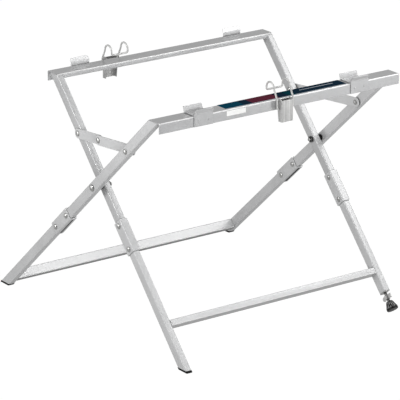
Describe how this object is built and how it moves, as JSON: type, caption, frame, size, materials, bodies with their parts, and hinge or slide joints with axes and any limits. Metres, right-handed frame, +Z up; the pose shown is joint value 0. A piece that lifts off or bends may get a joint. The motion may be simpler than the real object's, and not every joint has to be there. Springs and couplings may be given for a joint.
{
  "type": "folding saw stand",
  "caption": "Folding crossed-leg saw stand with long top bars, saddles, wire bail latches, folding side braces and a screw foot.",
  "frame": {"origin": "centre of the footprint, on the floor", "axes": "+X along the top bars to the right seen from the front, +Y from the front bar to the rear bar, +Z up"},
  "size_m": [0.7028, 0.7671, 0.6286],
  "materials": {
    "silver_paint": "smooth silver-grey gloss paint",
    "plated_steel": "zinc-plated fasteners",
    "latch_steel": "plated sheet and wire",
    "black_plastic": "moulded black plastic",
    "black_rubber": "moulded black rubber"
  },
  "bodies": {
    "outer_frame": {"front_top_bar": "silver_paint", "rear_floor_bar": "silver_paint", "rear_left_foot_cap": "black_plastic", "rear_right_foot_cap": "black_plastic", "front_left_saddle": "silver_paint", "front_right_saddle": "silver_paint", "front_latch_bracket": "latch_steel", "left_outer_upper_leg": "silver_paint", "left_outer_leg_sleeve": "silver_paint", "left_outer_lower_leg": "silver_paint", "left_outer_sleeve_upper_rivet": "plated_steel", "left_outer_sleeve_lower_rivet": "plated_steel", "left_pivot_bolt": "plated_steel", "left_pivot_nut": "plated_steel", "left_pivot_spacer": "black_plastic", "left_brace_front_rivet": "plated_steel", "left_brace_front_washer": "black_plastic", "right_outer_upper_leg": "silver_paint", "right_outer_leg_sleeve": "silver_paint", "right_outer_lower_leg": "silver_paint", "right_outer_sleeve_upper_rivet": "plated_steel", "right_outer_sleeve_lower_rivet": "plated_steel", "right_pivot_bolt": "plated_steel", "right_pivot_nut": "plated_steel", "right_pivot_spacer": "black_plastic", "right_brace_front_rivet": "plated_steel", "right_brace_front_washer": "black_plastic"},
    "inner_frame": {"rear_top_bar": "silver_paint", "front_crossbar": "silver_paint", "front_left_foot_cap": "black_plastic", "levelling_insert": "plated_steel", "rear_left_stop_plate": "silver_paint", "rear_right_stop_plate": "silver_paint", "rear_latch_bracket": "latch_steel", "left_inner_upper_leg": "silver_paint", "left_inner_leg_sleeve": "silver_paint", "left_inner_lower_leg": "silver_paint", "left_inner_sleeve_upper_rivet": "plated_steel", "left_inner_sleeve_lower_rivet": "plated_steel", "left_brace_rear_rivet": "plated_steel", "right_inner_upper_leg": "silver_paint", "right_inner_leg_sleeve": "silver_paint", "right_inner_lower_leg": "silver_paint", "right_inner_sleeve_upper_rivet": "plated_steel", "right_inner_sleeve_lower_rivet": "plated_steel", "right_brace_rear_rivet": "plated_steel"},
    "left_rear_link": {"left_brace_rear_link": "silver_paint"},
    "left_front_link": {"left_brace_front_link": "silver_paint", "left_brace_knee_rivet": "plated_steel"},
    "right_rear_link": {"right_brace_rear_link": "silver_paint"},
    "right_front_link": {"right_brace_front_link": "silver_paint", "right_brace_knee_rivet": "plated_steel"},
    "front_lever": {"front_latch_lever": "latch_steel"},
    "front_bail": {"front_latch_bail": "latch_steel"},
    "rear_lever": {"rear_latch_lever": "latch_steel"},
    "rear_bail": {"rear_latch_bail": "latch_steel"},
    "levelling_foot": {"levelling_stud": "plated_steel", "levelling_wing_nut": "plated_steel", "levelling_rubber_foot": "black_rubber"}
  },
  "joints": [
    {"name": "fold", "type": "hinge", "parent": "outer_frame", "child": "inner_frame", "pos_m": [0, -0.0392, 0.361], "axis": [1, 0, 0], "range_deg": [0, 80]},
    {"name": "left_rear_link_fold", "type": "hinge", "parent": "inner_frame", "child": "left_rear_link", "pos_m": [0, 0.05539, 0.46557], "axis": [1, 0, 0], "range_deg": [0, 51]},
    {"name": "left_front_link_fold", "type": "hinge", "parent": "outer_frame", "child": "left_front_link", "pos_m": [0, -0.17924, 0.48643], "axis": [1, 0, 0], "range_deg": [-35, 0]},
    {"name": "right_rear_link_fold", "type": "hinge", "parent": "inner_frame", "child": "right_rear_link", "pos_m": [0, 0.05539, 0.46557], "axis": [1, 0, 0], "range_deg": [0, 51]},
    {"name": "right_front_link_fold", "type": "hinge", "parent": "outer_frame", "child": "right_front_link", "pos_m": [0, -0.17924, 0.48643], "axis": [1, 0, 0], "range_deg": [-35, 0]},
    {"name": "front_lever_swing", "type": "hinge", "parent": "outer_frame", "child": "front_lever", "pos_m": [0, -0.3267, 0.582], "axis": [-1, 0, 0], "range_deg": [0, 110]},
    {"name": "front_bail_swing", "type": "hinge", "parent": "front_lever", "child": "front_bail", "pos_m": [0, -0.3262, 0.567], "axis": [1, 0, 0], "range_deg": [0, 133]},
    {"name": "rear_lever_swing", "type": "hinge", "parent": "inner_frame", "child": "rear_lever", "pos_m": [-0.132, 0.1998, 0.582], "axis": [1, 0, 0], "range_deg": [0, 110]},
    {"name": "rear_bail_swing", "type": "hinge", "parent": "rear_lever", "child": "rear_bail", "pos_m": [-0.132, 0.1993, 0.567], "axis": [-1, 0, 0], "range_deg": [0, 133]},
    {"name": "levelling_screw", "type": "slide", "parent": "inner_frame", "child": "levelling_foot", "axis": [0, -0.6708, -0.7416], "range_m": [0, 0.012]}
  ],
  "couplings": [
    {"joint": "left_rear_link_fold", "follows": "fold", "ratio": 0.63326},
    {"joint": "left_front_link_fold", "follows": "fold", "ratio": -0.43487},
    {"joint": "right_rear_link_fold", "follows": "fold", "ratio": 0.63326},
    {"joint": "right_front_link_fold", "follows": "fold", "ratio": -0.43487},
    {"joint": "front_bail_swing", "follows": "front_lever_swing", "ratio": 1.2},
    {"joint": "rear_bail_swing", "follows": "rear_lever_swing", "ratio": 1.2}
  ]
}
